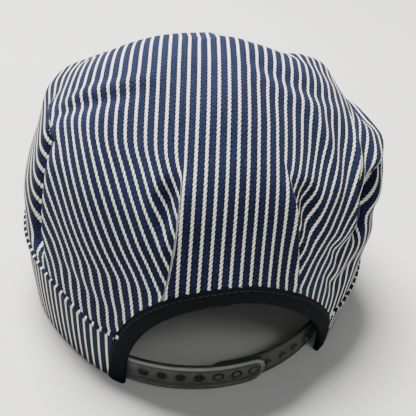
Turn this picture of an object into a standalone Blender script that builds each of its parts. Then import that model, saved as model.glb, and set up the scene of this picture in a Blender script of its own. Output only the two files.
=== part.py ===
"""Striped snapback cap with a deep soft crown, modelled as separate pieces.

Metres, +Z up. The cap rests on its band at z = 0. The opening with the strap is
at the back (-Y), the peak at the front (+Y). Angles round the head are measured
from the back: 0 is the back, +90 is +X, 180 is the front.
"""

import bpy
import numpy as np

# Head band
RIM_RADIUS = 0.0995
BAND_HEIGHT = 0.060
BAND_WALL = 0.0020
FRONT_LIFT = 0.013
LIFT_START_ANGLE = 105.0
LIFT_SPAN_ANGLE = 60.0

# Crown
SEAM_RADIUS = 0.1010
CROWN_TOP = 0.165
CROWN_WALL = 0.0018
CROWN_LENGTH = 0.130
TOP_SHIFT_X = 0.002
TOP_SHIFT_Y = 0.003
FOLD_REACH = 0.010
FOLD_DEPTH = 0.010
FOLD_FREE_TOP = 0.15
FOLD_FREE_SEAM = 0.10
LIP_OFFSET = 1.8
LIP_REACH = 1.2

# Opening at the back
OPENING_LEFT = 0.0590
OPENING_RIGHT = 0.0680
ARCH_HEIGHT = 0.0735
ARCH_SHIFT = 0.0005
ARCH_SQUARE_LEFT = 2.25
ARCH_SQUARE_RIGHT = 1.6
BINDING_WIDTH = 0.0100
BINDING_WALL = 0.0011
CLOTH_SETBACK = 0.0012

# Plastic strap
STRAP_WIDTH = 0.0180
STRAP_WALL = 0.0016
STRAP_BASE = 0.0010
STRAP_TUCK = 0.0160
HOLE_PITCH = 0.0105
HOLE_COUNT = 7
HOLE_DIAMETER = 0.0054
HOLE_START = -0.0458
PEG_DIAMETER = 0.0042
PEG_HEIGHT = 0.0022
PEG_COUNT = 7
SNAPPED_PEGS = 3
STRAP_END_MARGIN = 0.0060
STRAP_TIP_SHARE = 0.25

# Peak
PEAK_LENGTH = 0.068
PEAK_HALF_ANGLE = 64.0
PEAK_WALL = 0.0030
PEAK_SEAT = 0.0060
PEAK_ARCH = 0.0055
PEAK_DROOP = 0.0045
PEAK_SQUARE = 0.75
PEAK_END = 0.985

# Clearance between pieces that touch
GAP = 0.0004

# Band and seam round the head: shares of RIM_RADIUS, SEAM_RADIUS and BAND_HEIGHT
ROUND = {
    "angle": (-180, -135, -90, -60, -40, 0, 40, 60, 90, 135),
    "rim": (0.975, 0.985, 0.985, 0.965, 0.985, 0.995, 1.010, 1.030, 1.030, 1.000),
    "seam": (1.000, 1.000, 1.000, 0.980, 0.992, 0.990, 1.025, 1.050, 1.055, 1.020),
    "height": (1.000, 0.960, 0.860, 0.770, 0.650, 0.600, 0.550, 0.660, 0.800, 0.950),
}

# Crown sections from the top centre down to the seam. down is the share of the
# way along the cloth, back to front are shares of the seam radius in each
# direction, rise is the share of the height left above the seam, and square is
# the power of the plan's rounded square, where 2 is an ellipse.
SECTIONS = {
    "down": (0.00, 0.12, 0.25, 0.38, 0.50, 0.62, 0.74, 0.86, 1.00),
    "back": (0.000, 0.168, 0.340, 0.497, 0.632, 0.755, 0.849, 0.918, 1.000),
    "left": (0.000, 0.210, 0.423, 0.617, 0.770, 0.868, 0.928, 0.970, 1.000),
    "right": (0.000, 0.217, 0.442, 0.630, 0.790, 0.950, 1.032, 1.024, 1.000),
    "front": (0.000, 0.200, 0.400, 0.590, 0.750, 0.870, 0.955, 1.010, 1.000),
    "rise_back": (1.000, 0.985, 0.923, 0.829, 0.702, 0.567, 0.405, 0.220, 0.000),
    "rise_side": (1.000, 0.987, 0.930, 0.835, 0.710, 0.565, 0.390, 0.210, 0.000),
    "rise_front": (1.000, 0.952, 0.853, 0.750, 0.630, 0.500, 0.355, 0.190, 0.000),
    "square": (2.0, 2.0, 2.0, 2.1, 2.3, 2.4, 2.3, 2.1, 2.0),
}

# Folds of the crown, one row each. A fold that runs down the cloth is followed
# by its share down, one that runs round it by its angle. bow bends the path at
# its middle, in degrees or in share down. reach and depth are shares of
# FOLD_REACH and FOLD_DEPTH, a negative depth is a ridge, lip raises the cloth
# beside the fold on the side of its sign, and fade_in and fade_out are the
# shares of the path over which the fold begins and dies away.
FOLDS = (
    # name, run, angle_0, down_0, angle_1, down_1, bow, reach, depth, lip, fade_in, fade_out
    ("left_pleat_edge", "down", -22, 0.58, -22, 0.97, 1.5, 0.30, 0.30, 0.50, 0.30, 0.30),
    ("left_pleat_hollow", "down", -31, 0.52, -24, 0.88, 0, 0.90, 0.70, 0.10, 0.45, 0.55),
    ("left_soft_crease", "down", -25, 0.34, -21, 0.64, 0, 0.35, 0.14, 0.20, 0.40, 0.30),
    ("right_pleat_edge", "down", 21, 0.58, 19, 0.97, 0, 0.30, 0.30, -0.50, 0.30, 0.30),
    ("right_pleat_hollow", "down", 30, 0.52, 24, 0.86, 0, 0.90, 0.70, -0.10, 0.45, 0.55),
    ("left_side_pleat", "down", -86, 0.46, -76, 0.98, 3, 0.75, 1.30, 0.08, 0.35, 0.20),
    ("right_side_pleat", "down", 80, 0.46, 50, 0.86, -9, 1.00, 1.40, -0.10, 0.35, 0.35),
    ("left_shoulder", "round", -34, 0.25, -88, 0.52, -0.06, 0.90, 0.34, -0.30, 0.35, 0.25),
    ("right_shoulder", "down", 46, 0.16, 72, 0.48, -6, 0.80, 0.40, -0.15, 0.40, 0.30),
    ("right_ridge", "down", 52, 0.33, 31, 0.70, 4, 0.55, -0.22, 0.80, 0.35, 0.35),
    ("left_low_ripple", "round", -62, 0.85, -33, 0.90, 0, 0.50, 0.22, -0.30, 0.30, 0.30),
    ("right_low_ripple", "round", 30, 0.80, 56, 0.74, 0, 0.50, 0.24, -0.30, 0.30, 0.30),
    ("right_lowest_ripple", "round", 30, 0.90, 54, 0.87, 0, 0.45, 0.20, -0.30, 0.30, 0.30),
    ("top_right_hollow", "round", 168, 0.19, 76, 0.28, 0.03, 2.40, 0.70, 0, 0.45, 0.30),
    ("top_left_hollow", "round", -152, 0.33, -110, 0.39, 0, 1.20, 0.20, 0, 0.35, 0.35),
    ("left_shoulder_roll", "round", -134, 0.53, -98, 0.57, 0, 1.10, -0.32, 0, 0.35, 0.35),
    ("right_shoulder_roll", "down", 98, 0.22, 99, 0.52, 0, 1.10, -0.56, 0, 0.40, 0.40),
    ("right_side_dip", "round", 114, 0.55, 72, 0.56, 0, 0.80, 0.42, 0, 0.30, 0.30),
    ("right_side_roll", "round", 102, 0.64, 68, 0.68, 0, 1.00, -0.28, 0, 0.30, 0.30),
    ("left_side_roll", "round", -124, 0.83, -80, 0.86, 0, 1.40, -0.25, 0, 0.30, 0.30),
    ("front_left_side_pleat", "down", -126, 0.52, -122, 0.98, 0, 0.85, 0.70, 0.10, 0.40, 0.15),
    ("front_right_side_pleat", "down", 126, 0.52, 122, 0.98, 0, 0.85, 0.70, -0.10, 0.40, 0.15),
    ("front_left_pleat", "down", -160, 0.58, -158, 0.98, 0, 0.75, 0.55, 0.10, 0.40, 0.15),
    ("front_right_pleat", "down", 160, 0.58, 158, 0.98, 0, 0.75, 0.55, -0.10, 0.40, 0.15),
)

# Facets: columns of the crown and band as (from, to, step) in degrees
COLUMNS = ((-180, -96, 8.4), (-96, 96, 3.0), (96, 180, 8.4))
CROWN_ROWS = 24
BAND_ROWS = 3
PEAK_COLUMNS = 25
PEAK_ROWS = 7
BINDING_STEPS = 50
STRAP_STEP = 0.0026


def smooth_curve(knots, values, at):
    """Piecewise cubic through the knots whose slopes never overshoot."""
    knots = np.asarray(knots, float)
    values = np.asarray(values, float)
    step = np.diff(knots)
    slope = np.diff(values) / step
    inner = np.zeros(len(knots))
    same = slope[:-1] * slope[1:] > 0
    w0 = 2 * step[1:] + step[:-1]
    w1 = step[1:] + 2 * step[:-1]
    safe_0 = np.where(same, slope[:-1], 1.0)
    safe_1 = np.where(same, slope[1:], 1.0)
    inner[1:-1] = np.where(same, (w0 + w1) / (w0 / safe_0 + w1 / safe_1), 0.0)
    inner[0] = slope[0]
    inner[-1] = slope[-1]
    at = np.clip(at, knots[0], knots[-1])
    i = np.clip(np.searchsorted(knots, at, side="right") - 1, 0, len(step) - 1)
    t = (at - knots[i]) / step[i]
    h00 = (1 + 2 * t) * (1 - t) ** 2
    h01 = t * t * (3 - 2 * t)
    h10 = t * (1 - t) ** 2
    h11 = t * t * (t - 1)
    return (h00 * values[i] + h01 * values[i + 1]
            + step[i] * (h10 * inner[i] + h11 * inner[i + 1]))


def ramp(t):
    """Smooth step from 0 to 1 as t goes from 0 to 1."""
    t = np.clip(t, 0.0, 1.0)
    return t * t * (3 - 2 * t)


def wrap(angle):
    """The same angle in degrees between -180 and 180."""
    return (angle + 180.0) % 360.0 - 180.0


def round_value(column, angle):
    """A column of ROUND at an angle in degrees, closed round the head."""
    knots = np.array(ROUND["angle"], float)
    values = np.array(ROUND[column], float)
    knots = np.concatenate([knots - 360, knots, knots + 360])
    return smooth_curve(knots, np.tile(values, 3), wrap(angle))


def rim_radius(angle):
    return RIM_RADIUS * round_value("rim", angle)


def seam_radius(angle):
    return SEAM_RADIUS * round_value("seam", angle)


def rim_height(angle):
    """The rim lies flat at the back and sides and lifts smoothly at the front."""
    return FRONT_LIFT * ramp((np.abs(wrap(angle)) - LIFT_START_ANGLE) / LIFT_SPAN_ANGLE)


def band_top(angle):
    return BAND_HEIGHT * round_value("height", angle)


def arch_height(along, grow):
    """Height of the opening's edge at a distance along the wall from the back.

    Two quarters of a rounded arch meet at the apex, each with its own half
    width and squareness. grow moves the edge outwards, for the outer edge of
    the binding. Outside the arch the height is zero.
    """
    offset = along - ARCH_SHIFT
    left = offset < 0
    half = np.where(left, OPENING_LEFT + ARCH_SHIFT, OPENING_RIGHT - ARCH_SHIFT) + grow
    power = np.where(left, ARCH_SQUARE_LEFT, ARCH_SQUARE_RIGHT)
    share = np.clip(np.abs(offset) / half, 0.0, 1.0)
    return (ARCH_HEIGHT + grow) * (1 - share ** power) ** (1 / power)


def seam_height(angle):
    """Lowest cloth that shows: the binding's outer edge, else the top of the band."""
    along = np.radians(wrap(angle)) * SEAM_RADIUS
    return np.maximum(band_top(angle) + GAP / 2, arch_height(along, BINDING_WIDTH))


def lowest_share(angle):
    """Share down at which the cloth ends, past 1 where it runs on under the binding."""
    along = np.radians(wrap(angle)) * SEAM_RADIUS
    cut = np.maximum(band_top(angle) + GAP / 2, arch_height(along, CLOTH_SETBACK))
    return 1.0 + (seam_height(angle) - cut) / CROWN_LENGTH


def section(column, down):
    return smooth_curve(SECTIONS["down"], SECTIONS[column], down)


def plain_crown(angle, down):
    """Crown without folds: rounded-square rings between the top and the seam.

    In each ring the radius r solves |cos/back|^n + |sin/side|^n = 1/r^n, and
    the height falls from the top to the seam by the ring's share of the rise.
    Past the seam the cloth goes straight down.
    """
    past = np.maximum(down - 1.0, 0.0)
    down = np.minimum(down, 1.0)
    a = np.radians(angle)
    c = np.cos(a)
    s = np.sin(a)
    along = np.where(c > 0, section("back", down), section("front", down))
    across = np.where(s > 0, section("right", down), section("left", down))
    n = section("square", down)
    tiny = 1e-9
    total = (np.abs(c) / (along + tiny)) ** n + (np.abs(s) / (across + tiny)) ** n
    radius = seam_radius(angle) * total ** (-1 / n)
    side = section("rise_side", down)
    end = np.where(c > 0, section("rise_back", down), section("rise_front", down))
    rise = end * c * c + side * s * s
    low = seam_height(angle)
    z = low + (CROWN_TOP - low) * rise - past * CROWN_LENGTH
    x = TOP_SHIFT_X * (1 - down) + radius * s
    y = TOP_SHIFT_Y * (1 - down) - radius * c
    return np.stack([x, y, z], axis=-1)


def crown_normal(angle, down):
    """Outward unit normal of the plain crown, from small steps along it."""
    step = 1e-3
    low = np.clip(down - step, 0.02, 1.0 - 2 * step)
    high = low + 2 * step
    around = plain_crown(angle + 0.2, (low + high) / 2) - plain_crown(angle - 0.2, (low + high) / 2)
    along = plain_crown(angle, high) - plain_crown(angle, low)
    normal = np.cross(along, around)
    return normal / np.linalg.norm(normal, axis=-1, keepdims=True)


def fold_depth(angle, down):
    """Distance that the folds move the cloth outwards, in metres.

    Across its path a fold is a bell curve, with a second, raised bell beside it
    where it has a lip. Along its path it fades in and out.
    """
    total = np.zeros(np.broadcast(angle, down).shape)
    arc = SEAM_RADIUS * np.radians(1.0)
    for _, run, a0, d0, a1, d1, bow, reach, depth, lip, fade_in, fade_out in FOLDS:
        if run == "down":
            t = (down - d0) / (d1 - d0)
            bend = 4 * t * (1 - t) * bow
            away = wrap(angle - (a0 + (a1 - a0) * t + bend)) * arc * np.sqrt(down)
        else:
            t = wrap(angle - a0) / (a1 - a0)
            bend = 4 * t * (1 - t) * bow
            away = (down - (d0 + (d1 - d0) * t + bend)) * CROWN_TOP
        x = away / (reach * FOLD_REACH)
        raised = np.exp(-((x - np.sign(lip) * LIP_OFFSET) / LIP_REACH) ** 2)
        shape = np.abs(lip) * raised - np.exp(-x * x)
        total = total + shape * depth * FOLD_DEPTH * ramp(t / fade_in) * ramp((1 - t) / fade_out)
    return total * ramp(down / FOLD_FREE_TOP) * ramp((1 - down) / FOLD_FREE_SEAM)


def crown_surface(angle, down, inwards):
    """Folded crown, set inwards from its outer face along the plain normal."""
    out = fold_depth(angle, down) - inwards
    return plain_crown(angle, down) + crown_normal(angle, down) * out[..., None]


def band_surface(angle, up, inwards):
    """Band wall between the rim (up = 0) and the seam (up = 1)."""
    radius = rim_radius(angle) * (1 - up) + seam_radius(angle) * up - inwards
    low = rim_height(angle)
    z = low + (band_top(angle) - GAP / 2 - low) * up
    a = np.radians(angle)
    return np.stack([radius * np.sin(a), -radius * np.cos(a), z], axis=-1)


def wall_radius(angle, height):
    """Outer radius of the cap's wall at a height, on the band or on the crown.

    On the crown it is the largest within one and a half degrees, so that the
    flat facets of the binding clear the folds.
    """
    top = band_top(angle)
    on_band = rim_radius(angle) + (seam_radius(angle) - rim_radius(angle)) * np.clip(height / top, 0, 1)
    downs = np.linspace(0.70, 1.10, 80)
    result = on_band.copy()
    for i in np.flatnonzero(height > top):
        nearby = angle[i] + np.array([-1.5, 0.0, 1.5])
        column = crown_surface(*np.meshgrid(nearby, downs), 0.0)
        radius = np.hypot(column[..., 0], column[..., 1])
        heights = column[::-1, :, 2]
        result[i] = max(np.interp(height[i], heights[:, k], radius[::-1, k]) for k in range(3))
    return result


def make_material(name, colour, roughness, metallic=0.0):
    material = bpy.data.materials.new(name)
    material.use_nodes = True
    shader = material.node_tree.nodes["Principled BSDF"]
    shader.inputs["Base Color"].default_value = (*colour, 1.0)
    shader.inputs["Roughness"].default_value = roughness
    shader.inputs["Metallic"].default_value = metallic
    return material


def add_object(name, vertices, faces, material, smooth=True):
    """A mesh object from vertices and faces, with its own material."""
    mesh = bpy.data.meshes.new(name)
    mesh.from_pydata([tuple(map(float, v)) for v in vertices], [], [tuple(map(int, f)) for f in faces])
    mesh.validate()
    mesh.materials.append(material)
    if smooth:
        mesh.shade_smooth()
        mesh.set_sharp_from_angle(angle=np.radians(40))
    obj = bpy.data.objects.new(name, mesh)
    bpy.context.collection.objects.link(obj)
    return obj


def grid_faces(rows, columns, closed, start=0, flip=False):
    """Quads of a grid of points stored row by row."""
    last = columns if closed else columns - 1
    j, i = np.meshgrid(np.arange(rows - 1), np.arange(last), indexing="ij")
    k = (i + 1) % columns
    quads = np.stack([j * columns + i, j * columns + k, (j + 1) * columns + k, (j + 1) * columns + i], axis=-1)
    quads = quads.reshape(-1, 4) + start
    return quads[:, ::-1] if flip else quads


def shell(outer, inner, name, material):
    """A closed sheet with a wall, from two grids of points with open edges."""
    rows, columns = outer.shape[:2]
    count = rows * columns
    points = np.concatenate([outer.reshape(-1, 3), inner.reshape(-1, 3)])
    faces = [grid_faces(rows, columns, False, 0, True), grid_faces(rows, columns, False, count)]
    index = np.arange(count).reshape(rows, columns)
    ring = np.concatenate([index[0, :], index[1:, -1], index[-1, -2::-1], index[-2:0:-1, 0]])
    after = np.roll(ring, -1)
    faces.append(np.stack([ring, after, after + count, ring + count], axis=-1))
    return add_object(name, points, np.concatenate(faces), material)


def column_angles():
    parts = [np.arange(low, high, step) for low, high, step in COLUMNS]
    return np.concatenate(parts)


def make_crown(material):
    """Hollow gathered crown: an outer and an inner skin that meet at the seam."""
    angles = column_angles()
    rows = np.linspace(0.0, 1.0, CROWN_ROWS + 1)[1:]
    grid_angle, grid_down = np.meshgrid(angles, rows)
    grid_down = grid_down * lowest_share(angles)
    outer = crown_surface(grid_angle, grid_down, 0.0).reshape(-1, 3)
    inner = crown_surface(grid_angle, grid_down, CROWN_WALL).reshape(-1, 3)
    top = np.array([[TOP_SHIFT_X, TOP_SHIFT_Y, CROWN_TOP]])
    under = top - [[0.0, 0.0, CROWN_WALL]]
    columns = len(angles)
    count = len(outer)
    points = np.concatenate([outer, inner, top, under])
    i = np.arange(columns)
    k = (i + 1) % columns
    faces = [tuple(f) for f in grid_faces(CROWN_ROWS, columns, True, 0, True)]
    faces += [tuple(f) for f in grid_faces(CROWN_ROWS, columns, True, count)]
    faces += list(zip(i, k, np.full(columns, 2 * count)))
    faces += list(zip(k + count, i + count, np.full(columns, 2 * count + 1)))
    edge = (CROWN_ROWS - 1) * columns
    faces += list(zip(edge + k, edge + i, edge + i + count, edge + k + count))
    return add_object("crown", points, faces, material)


def opening_edge_angle(along):
    return np.degrees(along / SEAM_RADIUS)


def make_band(material):
    """Head band, open at the back between its two bound ends."""
    left = opening_edge_angle(-OPENING_LEFT - CLOTH_SETBACK)
    right = opening_edge_angle(OPENING_RIGHT + CLOTH_SETBACK) - 360.0
    inside = column_angles()
    inside = np.concatenate([inside, inside - 360.0])
    inside = inside[(inside > right + 1.0) & (inside < left - 1.0)]
    angles = np.concatenate([[right], np.sort(inside), [left]])
    ups = np.linspace(0.0, 1.0, BAND_ROWS)
    grid_angle, grid_up = np.meshgrid(angles, ups)
    outer = band_surface(grid_angle, grid_up, 0.0)
    inner = band_surface(grid_angle, grid_up, BAND_WALL)
    return shell(inner, outer, "band", material)


def binding_path(steps, offset):
    """Distances along the wall and heights of one edge of the binding.

    The path climbs the left end of the band, follows the arch and goes down
    the right end. Each point moves out from the inner edge by the offset.
    """
    t = np.linspace(0.0, 1.0, steps)
    half_left = OPENING_LEFT + ARCH_SHIFT + offset
    half_right = OPENING_RIGHT - ARCH_SHIFT + offset
    turn = np.where(t < 0.5, np.pi * t, np.pi * (1 - t))
    power = np.where(t < 0.5, ARCH_SQUARE_LEFT, ARCH_SQUARE_RIGHT)
    half = np.where(t < 0.5, -half_left, half_right)
    along = ARCH_SHIFT + half * np.cos(turn) ** (2 / power)
    height = (ARCH_HEIGHT + offset) * np.sin(turn) ** (2 / power)
    return along, height


def make_binding(material):
    """Woven tape folded over the edge of the opening, as one arched strip."""
    outer = []
    inner = []
    for offset in np.linspace(0.0, BINDING_WIDTH, 4):
        along, height = binding_path(BINDING_STEPS, offset)
        angle = opening_edge_angle(along)
        a = np.radians(angle)
        radius = wall_radius(angle, height) + GAP
        direction = np.stack([np.sin(a), -np.cos(a), np.zeros(a.shape)], axis=-1)
        level = np.stack([np.zeros(a.shape), np.zeros(a.shape), height], axis=-1)
        inner.append(direction * radius[:, None] + level)
        outer.append(direction * (radius + BINDING_WALL)[:, None] + level)
    return shell(np.array(inner), np.array(outer), "opening_binding", material)


def strap_radius():
    """Outer radius at which the strap clears the inside of the band at all its heights."""
    reach = np.degrees((np.array([-OPENING_LEFT, OPENING_RIGHT]) + [-STRAP_TUCK, STRAP_TUCK]) / RIM_RADIUS)
    angles = np.linspace(*reach, 50)[:, None]
    share = (STRAP_BASE + STRAP_WIDTH * np.array([0.0, 1.0])) / band_top(angles)
    wall = rim_radius(angles) * (1 - share) + seam_radius(angles) * share
    return wall.min() - BAND_WALL - GAP


def strap_point(along, height, radius):
    a = along / strap_radius()
    return np.stack([radius * np.sin(a), -radius * np.cos(a), height], axis=-1)


def strap_body(name, start, end, round_end, outer_radius, material):
    """Flat strap bent round the head, with one end rounded.

    round_end is 1 where the rounded end is the last one, and -1 where it is the
    first. The half height there is that of a circle, down to a short flat tip.
    """
    count = int(np.ceil((end - start) / STRAP_STEP)) + 1
    along = np.linspace(start, end, count)
    half = STRAP_WIDTH / 2
    from_end = (end - along) if round_end > 0 else (along - start)
    inset = np.clip(half - from_end, 0.0, half)
    reach = np.sqrt(np.maximum(half ** 2 - inset ** 2, (STRAP_TIP_SHARE * half) ** 2))
    middle = STRAP_BASE + half
    rows = np.linspace(-1.0, 1.0, 3)[:, None]
    height = middle + rows * reach[None, :]
    along = np.broadcast_to(along, height.shape)
    outer = strap_point(along, height, outer_radius)
    inner = strap_point(along, height, outer_radius - STRAP_WALL)
    return shell(inner, outer, name, material)


def radial_cylinder(name, along, low, high, diameter, sides):
    """A round pin that points away from the head's axis."""
    a = along / strap_radius()
    out = np.array([np.sin(a), -np.cos(a), 0.0])
    side = np.array([np.cos(a), np.sin(a), 0.0])
    up = np.array([0.0, 0.0, 1.0])
    turn = np.arange(sides) * 2 * np.pi / sides
    ring = (np.cos(turn)[:, None] * side + np.sin(turn)[:, None] * up) * diameter / 2
    centre = up * (STRAP_BASE + STRAP_WIDTH / 2)
    points = np.concatenate([ring + centre + out * low, ring + centre + out * high])
    i = np.arange(sides)
    k = (i + 1) % sides
    faces = [tuple(i[::-1]), tuple(i + sides)]
    faces += list(zip(i, k, k + sides, i + sides))
    return add_object(name, points, faces, None)


def join_by_boolean(target, tools, operation):
    """Cut or add each tool in turn, then keep the result as the mesh."""
    for tool in tools:
        modifier = target.modifiers.new(tool.name, "BOOLEAN")
        modifier.operation = operation
        modifier.solver = "EXACT"
        modifier.object = tool
    depsgraph = bpy.context.evaluated_depsgraph_get()
    mesh = bpy.data.meshes.new_from_object(target.evaluated_get(depsgraph))
    target.modifiers.clear()
    target.data = mesh
    for tool in tools:
        bpy.data.objects.remove(tool)


def make_straps(material_outer, material_inner):
    """The two halves of the strap, snapped together over three pegs."""
    outer_radius = strap_radius()
    hole_end = HOLE_START + (HOLE_COUNT - 1) * HOLE_PITCH
    outer = strap_body("strap_with_holes", -OPENING_LEFT - STRAP_TUCK, hole_end + STRAP_END_MARGIN,
                       1, outer_radius, material_outer)
    holes = [radial_cylinder("hole", HOLE_START + i * HOLE_PITCH, outer_radius - 2 * STRAP_WALL,
                             outer_radius + STRAP_WALL, HOLE_DIAMETER, 16) for i in range(HOLE_COUNT)]
    join_by_boolean(outer, holes, "DIFFERENCE")
    peg_start = HOLE_START + (HOLE_COUNT - SNAPPED_PEGS) * HOLE_PITCH
    inner_radius = outer_radius - STRAP_WALL - GAP
    inner = strap_body("strap_with_pegs", peg_start - STRAP_END_MARGIN, OPENING_RIGHT + STRAP_TUCK,
                       -1, inner_radius, material_inner)
    pegs = [radial_cylinder("peg", peg_start + i * HOLE_PITCH, inner_radius - STRAP_WALL / 2,
                            inner_radius + PEG_HEIGHT, PEG_DIAMETER, 12) for i in range(PEG_COUNT)]
    join_by_boolean(inner, pegs, "UNION")
    return outer, inner


def peak_surface(across, out, level):
    """Curved peak between the band (out = 0) and its rounded front edge (out = 1).

    The front edge is half of a rounded oval whose ends meet the band. The peak
    is highest along its middle, and slopes down from the band to the floor.
    """
    angle = 180.0 + across * PEAK_HALF_ANGLE
    a = np.radians(angle)
    lean = (seam_radius(angle) - rim_radius(angle)) * PEAK_SEAT / band_top(angle)
    root = rim_radius(angle) + lean + GAP
    x_root = root * np.sin(a)
    y_root = -root * np.cos(a)
    turn = across * np.pi / 2
    corner = np.radians(PEAK_HALF_ANGLE)
    x_edge = -RIM_RADIUS * np.sin(corner) * np.sin(turn)
    y_corner = RIM_RADIUS * np.cos(corner)
    y_edge = y_corner + (RIM_RADIUS + PEAK_LENGTH - y_corner) * np.cos(turn) ** PEAK_SQUARE
    x = x_root + (x_edge - x_root) * out
    y = y_root + (y_edge - y_root) * out
    reach = np.minimum(np.hypot(x_edge - x_root, y_edge - y_root) / PEAK_LENGTH, 1.0)
    z_root = rim_height(angle) + PEAK_SEAT
    z_edge = PEAK_WALL + PEAK_DROOP * np.cos(turn)
    z = z_root + (z_edge - z_root) * out * reach + PEAK_ARCH * np.cos(turn) * np.sin(np.pi * out)
    return np.stack([x, y, z - level], axis=-1)


def make_peak(material):
    across = np.linspace(-PEAK_END, PEAK_END, PEAK_COLUMNS)
    across, out = np.meshgrid(across, np.linspace(0.0, 1.0, PEAK_ROWS))
    upper = peak_surface(across, out, 0.0)
    lower = peak_surface(across, out, PEAK_WALL)
    return shell(upper, lower, "peak", material)


def centre_on_origin(objects):
    """Move the finished pieces so that the middle of their box is over the origin."""
    corners = []
    for obj in objects:
        points = np.empty(len(obj.data.vertices) * 3)
        obj.data.vertices.foreach_get("co", points)
        points = points.reshape(-1, 3)
        corners += [points.min(axis=0), points.max(axis=0)]
    low = np.min(corners, axis=0)
    high = np.max(corners, axis=0)
    for obj in objects:
        obj.location = (-(low[0] + high[0]) / 2, -(low[1] + high[1]) / 2, -low[2])


def main():
    for obj in list(bpy.data.objects):
        bpy.data.objects.remove(obj)
    crown = make_crown(make_material("striped crown cloth", (0.060, 0.085, 0.210), 0.85))
    band = make_band(make_material("striped band cloth", (0.050, 0.070, 0.180), 0.85))
    peak = make_peak(make_material("striped peak cloth", (0.055, 0.078, 0.195), 0.85))
    binding = make_binding(make_material("black woven tape", (0.016, 0.017, 0.019), 0.75))
    straps = make_straps(make_material("charcoal moulded strap", (0.040, 0.041, 0.043), 0.45),
                         make_material("charcoal moulded pegs", (0.030, 0.031, 0.033), 0.45))
    centre_on_origin([crown, band, peak, binding, *straps])


main()
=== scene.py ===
"""Looks of the striped snapback cap: cloth, tape, strap, floor, light and camera.

Lengths are in metres. Angles round the cap are in degrees from its back, positive
towards +X, 180 at the front. The shape functions repeat those of the model, with
finer folds, and are moved to the frame by one offset.
"""

import bpy
import numpy as np
from mathutils import Matrix, Vector


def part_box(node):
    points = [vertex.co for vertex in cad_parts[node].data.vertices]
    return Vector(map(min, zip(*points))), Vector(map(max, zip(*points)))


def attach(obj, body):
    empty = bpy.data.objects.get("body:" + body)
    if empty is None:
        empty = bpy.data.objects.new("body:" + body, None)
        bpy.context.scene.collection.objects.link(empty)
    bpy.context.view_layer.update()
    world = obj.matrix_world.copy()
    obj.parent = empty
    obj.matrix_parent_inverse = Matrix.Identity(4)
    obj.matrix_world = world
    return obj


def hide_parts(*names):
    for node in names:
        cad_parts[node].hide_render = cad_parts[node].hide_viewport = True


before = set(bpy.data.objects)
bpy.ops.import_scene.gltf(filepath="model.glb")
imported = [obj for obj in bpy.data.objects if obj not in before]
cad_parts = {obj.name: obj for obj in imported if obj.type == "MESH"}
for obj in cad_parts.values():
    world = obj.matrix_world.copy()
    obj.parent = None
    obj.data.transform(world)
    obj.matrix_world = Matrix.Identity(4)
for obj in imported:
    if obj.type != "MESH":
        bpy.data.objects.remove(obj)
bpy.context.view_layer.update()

# Band and crown: the cloth is thinner and its folds are finer than in the model
RIM_RADIUS = 0.0995
BAND_HEIGHT = 0.060
BAND_WALL = 0.0020
BAND_SWELL = 0.0006
FRONT_LIFT = 0.013
LIFT_START_ANGLE = 105.0
LIFT_SPAN_ANGLE = 60.0
SEAM_RADIUS = 0.1010
CROWN_TOP = 0.165
CROWN_LENGTH = 0.130
CLOTH_WALL = 0.0012
TOP_SHIFT_X = 0.002
TOP_SHIFT_Y = 0.003
FOLD_REACH = 0.010
FOLD_DEPTH = 0.010
FOLD_FREE_TOP = 0.15
FOLD_FREE_SEAM = 0.06
LIP_OFFSET = 1.8
LIP_REACH = 1.2
STEP_SHARPNESS = 6.0

# Opening at the back and its binding
OPENING_LEFT = 0.0590
OPENING_RIGHT = 0.0680
ARCH_HEIGHT = 0.0735
ARCH_SHIFT = 0.0005
ARCH_SQUARE_LEFT = 2.25
ARCH_SQUARE_RIGHT = 1.6
BINDING_WIDTH = 0.0100
BINDING_WALL = 0.0012
BINDING_CLEARANCE = 0.0002
BINDING_HOOK = 0.0015
BINDING_BULGE = 0.0009
BINDING_RETURN = 0.0030
BINDING_INNER_DEPTH = 0.0021
BINDING_HIDDEN_DEPTH = 0.0003
CLOTH_SETBACK = 0.0012
SEAM_ROLL_RADIUS = 0.0013
SEAM_ROLL_OFFSET = 0.0002

# Stitches that hold the binding down
STITCH_LENGTH = 0.0026
STITCH_GAP = 0.0008
STITCH_RADIUS = 0.00024
STITCH_INSET = 0.0020
STITCH_LOWEST = 0.0015

# Strap
STRAP_TUCK = 0.0160
STRAP_WIDTH = 0.0180
STRAP_WALL = 0.0016
STRAP_BASE = 0.0010
HOLE_PITCH = 0.0105
HOLE_COUNT = 7
HOLE_START = -0.0458
HOLE_DIAMETER = 0.0054
STRAP_END_MARGIN = 0.0060
STRAP_OVERRUN = 0.002
EDGE_BEAD_RADIUS = 0.0013
EDGE_BEAD_FLATNESS = 0.6
EDGE_BEAD_INSET = 0.0012
GROOVE_HALF_WIDTH = 0.0048
GROOVE_START = 0.0030
GROOVE_LINE_RADIUS = 0.0003
GROOVE_LINE_FLATNESS = 0.4
COLLAR_CLEARANCE = 0.0003
COLLAR_RADIUS = 0.0004
COLLAR_FLATNESS = 0.5
INNER_BEAD_RADIUS = 0.0006
INNER_BEAD_LAP = 0.001

# Points along each side of the strap, and the one where its pale edge, a painted highlight, ends
SIDE_POINTS = 60
PAINTED_HIGHLIGHT_POINTS = SIDE_POINTS + 14

# Peak
PEAK_LENGTH = 0.068
PEAK_HALF_ANGLE = 64.0
PEAK_WALL = 0.0030
PEAK_SEAT = 0.0060
PEAK_ARCH = 0.0055
PEAK_DROOP = 0.0045
PEAK_SQUARE = 0.75
PEAK_END = 0.985
GAP = 0.0004

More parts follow.
